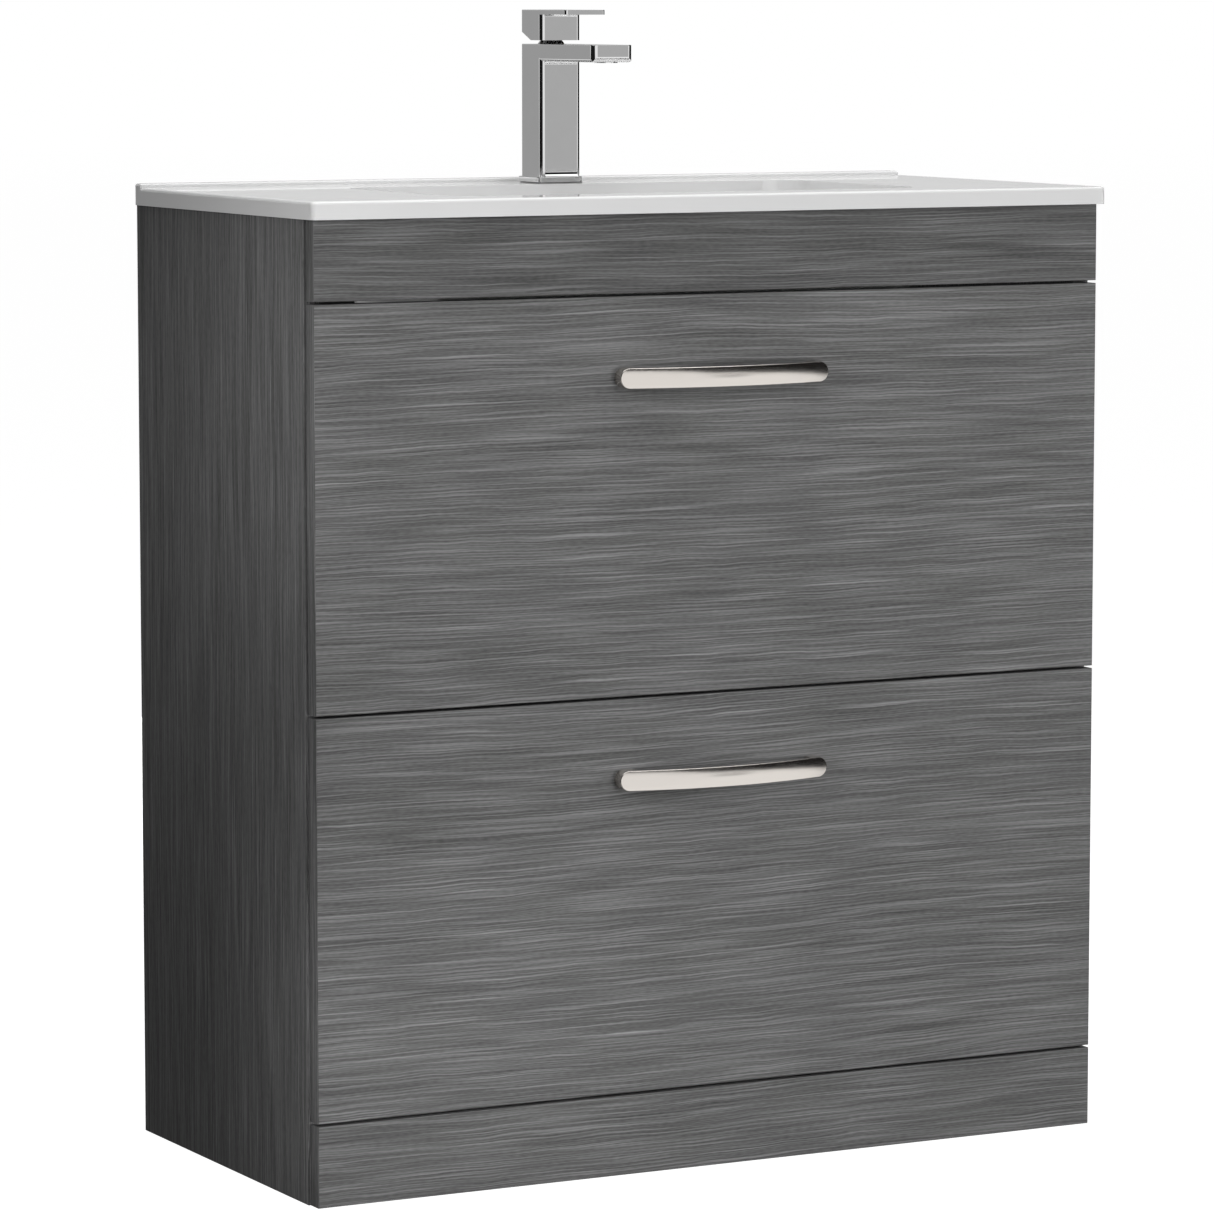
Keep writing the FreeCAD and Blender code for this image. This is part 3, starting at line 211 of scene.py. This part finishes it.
# %% All the layers together
def grain_value(r, run, across, deep):
    """How pale the print is: about 1 on average."""
    swayed = sway(r, run, across, deep)
    value = r.math("MULTIPLY_ADD", pore_rows(r, run, swayed, deep), ROW_STRENGTH, GROUND)
    for along, over, start, end, strength in CRESTS:
        crest = r.span(grain_layer(r, run, swayed, deep, along, over), start, end)
        value = r.math("MULTIPLY_ADD", crest, strength, value)
    for along, over, octaves, strength in CLOUDS:
        cloud = r.math("SUBTRACT", grain_layer(r, run, swayed, deep, along, over, octaves), 0.5)
        value = r.math("MULTIPLY_ADD", cloud, strength, value)
    return r.math("MAXIMUM", value, DARKEST)

# %% [markdown]
# Colour of the print. The ground is a neutral grey that leans to olive in some patches, and the pale lines lean a
# little to blue. The same value that makes a line pale also makes it a trace glossier and higher, because the
# foil is pressed with the grain, so the light breaks on it when the view turns.

# %% Greys of the print
FOIL = 0.1305              # reflectance of the ground
OLIVE, PLAIN, BLUE = (1.0, 1.0, 0.990), (1.002, 0.999, 1.002), (0.998, 0.999, 1.004)


def shade(tint, brightness):
    """A colour for a socket: the tint at that brightness, opaque."""
    return (*[channel * brightness for channel in tint], 1.0)


print("the ground reflects", round(100 * FOIL), "% of the light")

# %% Woodgrain foil
def woodgrain(name, along, shift, brightness=FOIL):
    """Woodgrain print. along is the axis that the grain runs along, and shift takes another part of it."""
    made, r, shader = material(name, (brightness,) * 3, 0.5, specular_ior_level=0.07)
    run, across, deep = grain_place(r, along, shift)
    value = grain_value(r, run, across, deep)
    patch = r.span(grain_layer(r, run, across, deep, 9.0, 22.0, 2.0), 0.40, 0.60)
    ground = r.mix(patch, shade(OLIVE, brightness), shade(PLAIN, brightness))
    tint = r.mix(r.span(value, 0.95, 1.45), ground, shade(BLUE, brightness))
    colour = r.add("VectorMath", {0: tint, 1: r.vector(value, value, value)}, operation="MULTIPLY").outputs[0]
    r.plug(shader.inputs["Base Color"], colour)
    r.plug(shader.inputs["Roughness"], r.span(value, 0.7, 1.5, 0.56, 0.46))
    relief = r.add("Bump", {"Strength": 0.3, "Distance": 0.0001, "Height": value})
    r.plug(shader.inputs["Normal"], relief.outputs[0])
    return made

# %% [markdown]
# Even finishes. Plated steel, powder coat, moulded plastic and rubber look plain, but none is the same all over:
# plating has a fine crystal bloom, powder coat is slightly dimpled, and plastic has faint flow marks. One helper
# does them all. It lets noise move the colour and the roughness a few percent, and can raise a fine bump. Drawing
# the noise out along one axis turns the same speckle into brushing or drawing marks.

# %% A finish that varies a little
SPECK = (0.3, 0.7)         # the part of the noise that is used, from its dull end to its bright end


def speckled(name, colour, roughness, amount, scale, stretch=(1, 1, 1), bump=0.0, **surface):
    """amount is the share that the colour varies by, and bump is the height of the relief in metres."""
    made, r, shader = material(name, colour, roughness, **surface)
    place = r.add("TexCoord", {}).outputs["Object"]
    drawn = r.add("VectorMath", {0: place, 1: stretch}, operation="MULTIPLY").outputs[0]
    speck = r.noise(drawn, scale, 3.0)
    dull, bright = shade(colour, 1 - amount), shade(colour, 1 + amount)
    r.plug(shader.inputs["Base Color"], r.mix(r.span(speck, *SPECK), dull, bright))
    r.plug(shader.inputs["Roughness"], r.span(speck, *SPECK, roughness * 0.85, roughness * 1.15))
    if bump:
        relief = r.add("Bump", {"Strength": 0.5, "Distance": bump, "Height": speck})
        r.plug(shader.inputs["Normal"], relief.outputs[0])
    return made


print("noise from", *SPECK, "is used")

# %% [markdown]
# Boards, plastics and rubber. Inside, the carcass has the same print as outside. The drawer bottoms are plain grey
# board, the dowels are beech, the waste and trap are white plastic, and the liner that keeps the trap's recess
# dry is moulded with a fine leather-like dimple. Most of it is only seen with a drawer pulled out, but a drawer
# that is pulled out shows all of it.

# %% Boards, plastics and rubber
finishes = {
    "carcass_board": woodgrain("carcass_board", "X", 5.3),
    "drawer_board": speckled("drawer_board", (0.42, 0.42, 0.41), 0.5, 0.06, 260.0, stretch=(0.1, 1, 1)),
    "beech_dowel": speckled("beech_dowel", (0.50, 0.33, 0.18), 0.6, 0.15, 200.0, stretch=(0.1, 1, 1)),
    "cartridge_plastic": speckled("cartridge_plastic", (0.05, 0.06, 0.07), 0.5, 0.1, 300.0),
    "trap_plastic": speckled("trap_plastic", (0.80, 0.80, 0.80), 0.25, 0.02, 80.0),
    "recess_plastic": speckled("recess_plastic", (0.27, 0.27, 0.27), 0.5, 0.05, 400.0, bump=0.00005),
    "rubber": speckled("rubber", (0.22, 0.22, 0.22), 0.75, 0.1, 500.0),
}
print("boards, plastics and rubber:", len(finishes))

# %% [markdown]
# Metals. A metal shows no colour of its own, only what it mirrors, so its recipe is mostly roughness: near zero
# for the tap's chrome, a quarter for the satin nickel of the handles, more for zinc and powder coat. Nickel is
# warmer than chrome. The handles are brushed along their length, so their noise is drawn out along X. The dome
# under the tap's lever is turned and left satin, as on most taps, because it rubs each time the lever moves.

# %% Metals
finishes.update({
    "chrome_plate": speckled("chrome_plate", (0.80, 0.80, 0.80), 0.05, 0.01, 60.0, metallic=1.0),
    "satin_chrome": speckled("satin_chrome", (0.74, 0.74, 0.74), 0.22, 0.03, 200.0, metallic=1.0),
    "satin_nickel": speckled("satin_nickel", (0.78, 0.735, 0.69), 0.21, 0.01, 300.0, stretch=(0.03, 1, 1),
                             metallic=1.0),
    "brass": speckled("brass", (0.70, 0.50, 0.22), 0.3, 0.06, 200.0, metallic=1.0),
    "zinc_fittings": speckled("zinc_fittings", (0.55, 0.55, 0.52), 0.38, 0.10, 300.0, metallic=1.0),
    "runner_steel": speckled("runner_steel", (0.62, 0.63, 0.64), 0.32, 0.08, 120.0, stretch=(1, 0.1, 1),
                             metallic=1.0),
    "drawer_steel": speckled("drawer_steel", (0.33, 0.34, 0.35), 0.42, 0.04, 900.0, bump=0.00004),
})
print("with metals:", len(finishes))

# %% [markdown]
# The basin is cast ceramic under a clear glaze. The body is matt white and the glaze lies over it like varnish, so
# the shader's coat stands for the glaze: it stays sharp while the white below stays soft. Fired glaze is never
# quite flat, so a low, wide bump makes the reflections swim a little.

# %% Glazed ceramic
finishes["basin_ceramic"] = speckled("basin_ceramic", (0.70, 0.70, 0.70), 0.22, 0.01, 14.0, bump=0.000012,
                                     coat_weight=0.7, coat_roughness=0.03)
print("with the basin:", len(finishes))

# %% [markdown]
# Handing the finishes out. The record says which material slot each node has. The six large panels each get
# their own cut of the print, as from one sheet, with the grain level on the fronts and upright on the sides.
# The fascia's print is darkened to paint in the shade under the basin's overhang, and the plinth's is a little
# darker.

# %% Give each node its finish
PANEL_CUTS_AND_SHADE = {             # grain along, place on the sheet, brightness
    "side_panel_left": ("Z", 0.0, FOIL), "side_panel_right": ("Z", 7.1, FOIL),
    # fascia at 0.82 of the ground: painted shade under the basin's overhang; plinth at 0.96: a little darker
    "fascia_panel": ("X", 0.4, 0.82 * FOIL), "plinth_panel": ("X", 1.9, 0.96 * FOIL),
    "upper_drawer_front": ("X", 3.2, FOIL), "lower_drawer_front": ("X", 4.6, FOIL)}
slot_of = {piece["node"]: piece["material_slot"] for piece in frame["record"]["subparts"]}
slot_of["tap_swivel_dome"] = "satin_chrome"        # the one piece that differs from its slot
for name, piece in nodes.items():
    if name in PANEL_CUTS_AND_SHADE:
        finish = woodgrain("foil_" + name, *PANEL_CUTS_AND_SHADE[name])
    else:
        finish = finishes[slot_of[name]]
    piece.data.materials.clear()
    piece.data.materials.append(finish)
    for face in piece.data.polygons:
        face.material_index = 0
print(len(bpy.data.materials), "materials on", len(nodes), "nodes")

# %% [markdown]
# The studio. The cabinet stands on a seamless white sweep, lit so evenly that floor and wall run together. A white
# floor that glows by itself gives that without a wall to build. It is kept out of mirrors and doesn't light the
# cabinet, because in a real studio black boards stand just outside the view for that.

# %% A flat sheet for the floor
def stage_floor(size, z):
    mesh = bpy.data.meshes.new("floor")
    h = size / 2
    mesh.from_pydata([(-h, -h, z), (h, -h, z), (h, h, z), (-h, h, z)], [], [(0, 1, 2, 3)])
    made = bpy.data.objects.new("floor", mesh)
    bpy.context.scene.collection.objects.link(made)
    return made


FLOOR_SIZE, FLOOR_LEVEL = 60.0, -0.0005            # metres; just under the cabinet, so that they don't flicker
floor = stage_floor(FLOOR_SIZE, FLOOR_LEVEL)
print("floor", round(floor.dimensions.x), "m square, half a millimetre under the cabinet")

# %% A floor that glows
paint, _, shader = material("floor_paint", (0.3, 0.3, 0.3), 0.8, specular_ior_level=0.0,
                            emission_color=(1, 1, 1, 1), emission_strength=0.97)
floor.data.materials.append(paint)
floor.visible_glossy = False
floor.visible_diffuse = False
print("floor shines at", shader.inputs["Emission Strength"].default_value)

# %% [markdown]
# Lamps. A cabinet like this is lit by large softboxes, so that no shadow has a hard edge. The main one stands low
# in front, because the drawer fronts should be the brightest upright faces, and the underside of the basin must
# not throw a dark band on them. One stands to the right, one high in front to reach into the bowl, and one hangs
# above for the top of the basin. The left side is meant to stay darker, which shows the cabinet's depth, so it
# only gets three faint narrow beams. A last one, low behind, shows the open back to whoever walks round it. Lamps
# show in chrome as hard white squares, so they are hidden from mirrors, and what mirrors see is made separately.

# %% A softbox
def softbox(name, place, target, size, power, spread):
    """A square area lamp at a place, turned to a target."""
    lamp = bpy.data.lights.new(name, "AREA")
    lamp.shape = "RECTANGLE"
    lamp.size = lamp.size_y = size
    lamp.energy = power
    lamp.spread = math.radians(spread)
    made = bpy.data.objects.new(name, lamp)
    made.location = place
    made.rotation_euler = (Vector(target) - Vector(place)).to_track_quat("-Z", "Y").to_euler()
    made.visible_glossy = False
    bpy.context.scene.collection.objects.link(made)
    return made


print("softboxes are hidden from mirrors")

# %% Set up the softboxes
LAMPS = (                  # name, place, target, size, watts, spread of the beam in degrees
    ("front_low", (0.6, -3.0, 0.1), (0.0, 0.0, 0.3), 1.0, 54.0, 180),
    ("front_right", (2.8, -1.8, 1.2), (0.0, 0.0, 0.45), 1.4, 31.0, 180),
    ("front_high", (0.6, -3.2, 1.9), (0.0, 0.0, 0.6), 1.4, 26.0, 180),
    ("top", (0.0, 0.0, 3.0), (0.0, 0.0, 0.8), 1.4, 48.0, 180),
    ("back", (0.3, 3.0, 0.35), (0.0, 0.0, 0.4), 1.0, 55.0, 180),
    ("left_high", (-2.2, -1.0, 1.6), (-0.4, 0.0, 0.85), 0.4, 0.24, 26),
    ("left_near", (-1.3, -0.7, 1.0), (-0.4, -0.35, 0.7), 0.3, 0.62, 50),
    ("left_low", (-1.1, -0.9, 0.35), (-0.4, -0.35, 0.15), 0.2, 0.28, 34),
)
for lamp in LAMPS:
    softbox(*lamp)
print(len(LAMPS), "softboxes,", round(sum(lamp[4] for lamp in LAMPS)), "W")

# %% [markdown]
# Reflections. Chrome has no look of its own: it is a picture of the room. In a product studio the room is black,
# and white and grey cards stand where each flat face of the tap will mirror them. The black between the cards
# gives the dark lines along the rounded corners that make metal read as metal. Real cards could be modelled as
# planes, but they would also shade the cabinet. So the room is painted on the world as seen from the middle: each
# card is a round patch round one direction, with a white rim that draws the bright line beside each dark one.

# %% An empty world
world = bpy.data.worlds.new("studio")
bpy.context.scene.world = world
world.use_nodes = True
w = Recipe(world.node_tree)
background = world.node_tree.nodes["Background"]
way = w.add("TexCoord", {}).outputs["Generated"]
height = w.split(way)[2]
print("world", world.name, "is ready to paint")

# %% Greys and angles
def grey(value):
    return (value, value, value, 1.0)


def away(direction):
    """The angle between a ray and a direction, in degrees."""
    axis = Vector(direction).normalized()
    dot = w.add("VectorMath", {0: way, 1: axis}, operation="DOT_PRODUCT").outputs["Value"]
    inside = w.math("MULTIPLY", dot, 0.99999)          # rounding could take it past 1, where there is no angle
    return w.math("DEGREES", w.math("ARCCOSINE", inside))


print("a ray along the card's own direction is 0 degrees away")

# %% [markdown]
# The bare room comes first: black walls over a grey floor, and a ring of bright ceiling that draws the thin white
# line along every top edge, on the glaze as on the metal. Straight overhead the ceiling is only grey, or the tap
# would vanish in white when it is seen from above.

# %% The bare room
WALLS, GROUND_GREY, CEILING, OVERHEAD = 0.012, 0.28, 1.8, 0.55
room = w.mix(w.span(height, -0.15, -0.35), grey(WALLS), grey(GROUND_GREY))
room = w.mix(w.span(height, 0.72, 0.82), room, grey(CEILING))
room = w.mix(w.span(height, 0.93, 0.97), room, grey(OVERHEAD))
print("ceiling", CEILING, "walls", WALLS, "floor", GROUND_GREY)

# %% Cards round the cabinet
SOFT_EDGE, SOFT_RIM = 1.5, 3.0             # degrees over which a card and its rim fade out
CARDS = (                  # direction, radius of the card, its grey, width of its white rim, in degrees
    ((0.20, 0.75, 0.65), 35.0, 0.30, 0.0),
    ((0.42, -0.80, -0.62), 36.0, 0.95, 2.0),
    ((-0.05, -0.97, -0.10), 26.0, 0.92, 1.0),
    ((0.47, -0.88, -0.02), 5.5, 0.47, 3.0),
    ((-0.46, 0.88, -0.10), 10.0, 0.37, 7.0),
    ((0.46, 0.88, 0.11), 24.0, 0.55, 0.0),
)
for direction, radius, value, rim in CARDS:
    angle = away(direction)
    room = w.mix(w.span(angle, radius + rim + SOFT_RIM, radius + rim), room, grey(1.0))
    room = w.mix(w.span(angle, radius + SOFT_EDGE, radius), room, grey(value))
print(len(CARDS), "cards")

# %% [markdown]
# Not every ray should see the cards. Light that scatters from the boards would pick up their brightness and
# flatten the shading that the softboxes give, so it sees an almost black room. The camera sees clean white, which
# is the backdrop. The light path node tells the three kinds of ray apart.

# %% What each kind of ray sees
SCATTERED, BACKDROP = 0.02, 1.0
ray = w.add("LightPath", {}).outputs
room = w.mix(ray["Is Diffuse Ray"], room, grey(SCATTERED))
w.plug(background.inputs["Color"], w.mix(ray["Is Camera Ray"], room, grey(BACKDROP)))
print(len(world.node_tree.nodes), "nodes paint the room")

# %% [markdown]
# Plain colours. Blender's usual view squeezes bright tones together, as film does, and turns a white backdrop
# grey. A catalogue wants its white to be white, so the picture is shown with no such curve.

# %% Plain colours
scene = bpy.context.scene
scene.view_settings.view_transform = "Standard"
scene.view_settings.look = "None"
print("shown as", scene.view_settings.view_transform)

# %% [markdown]
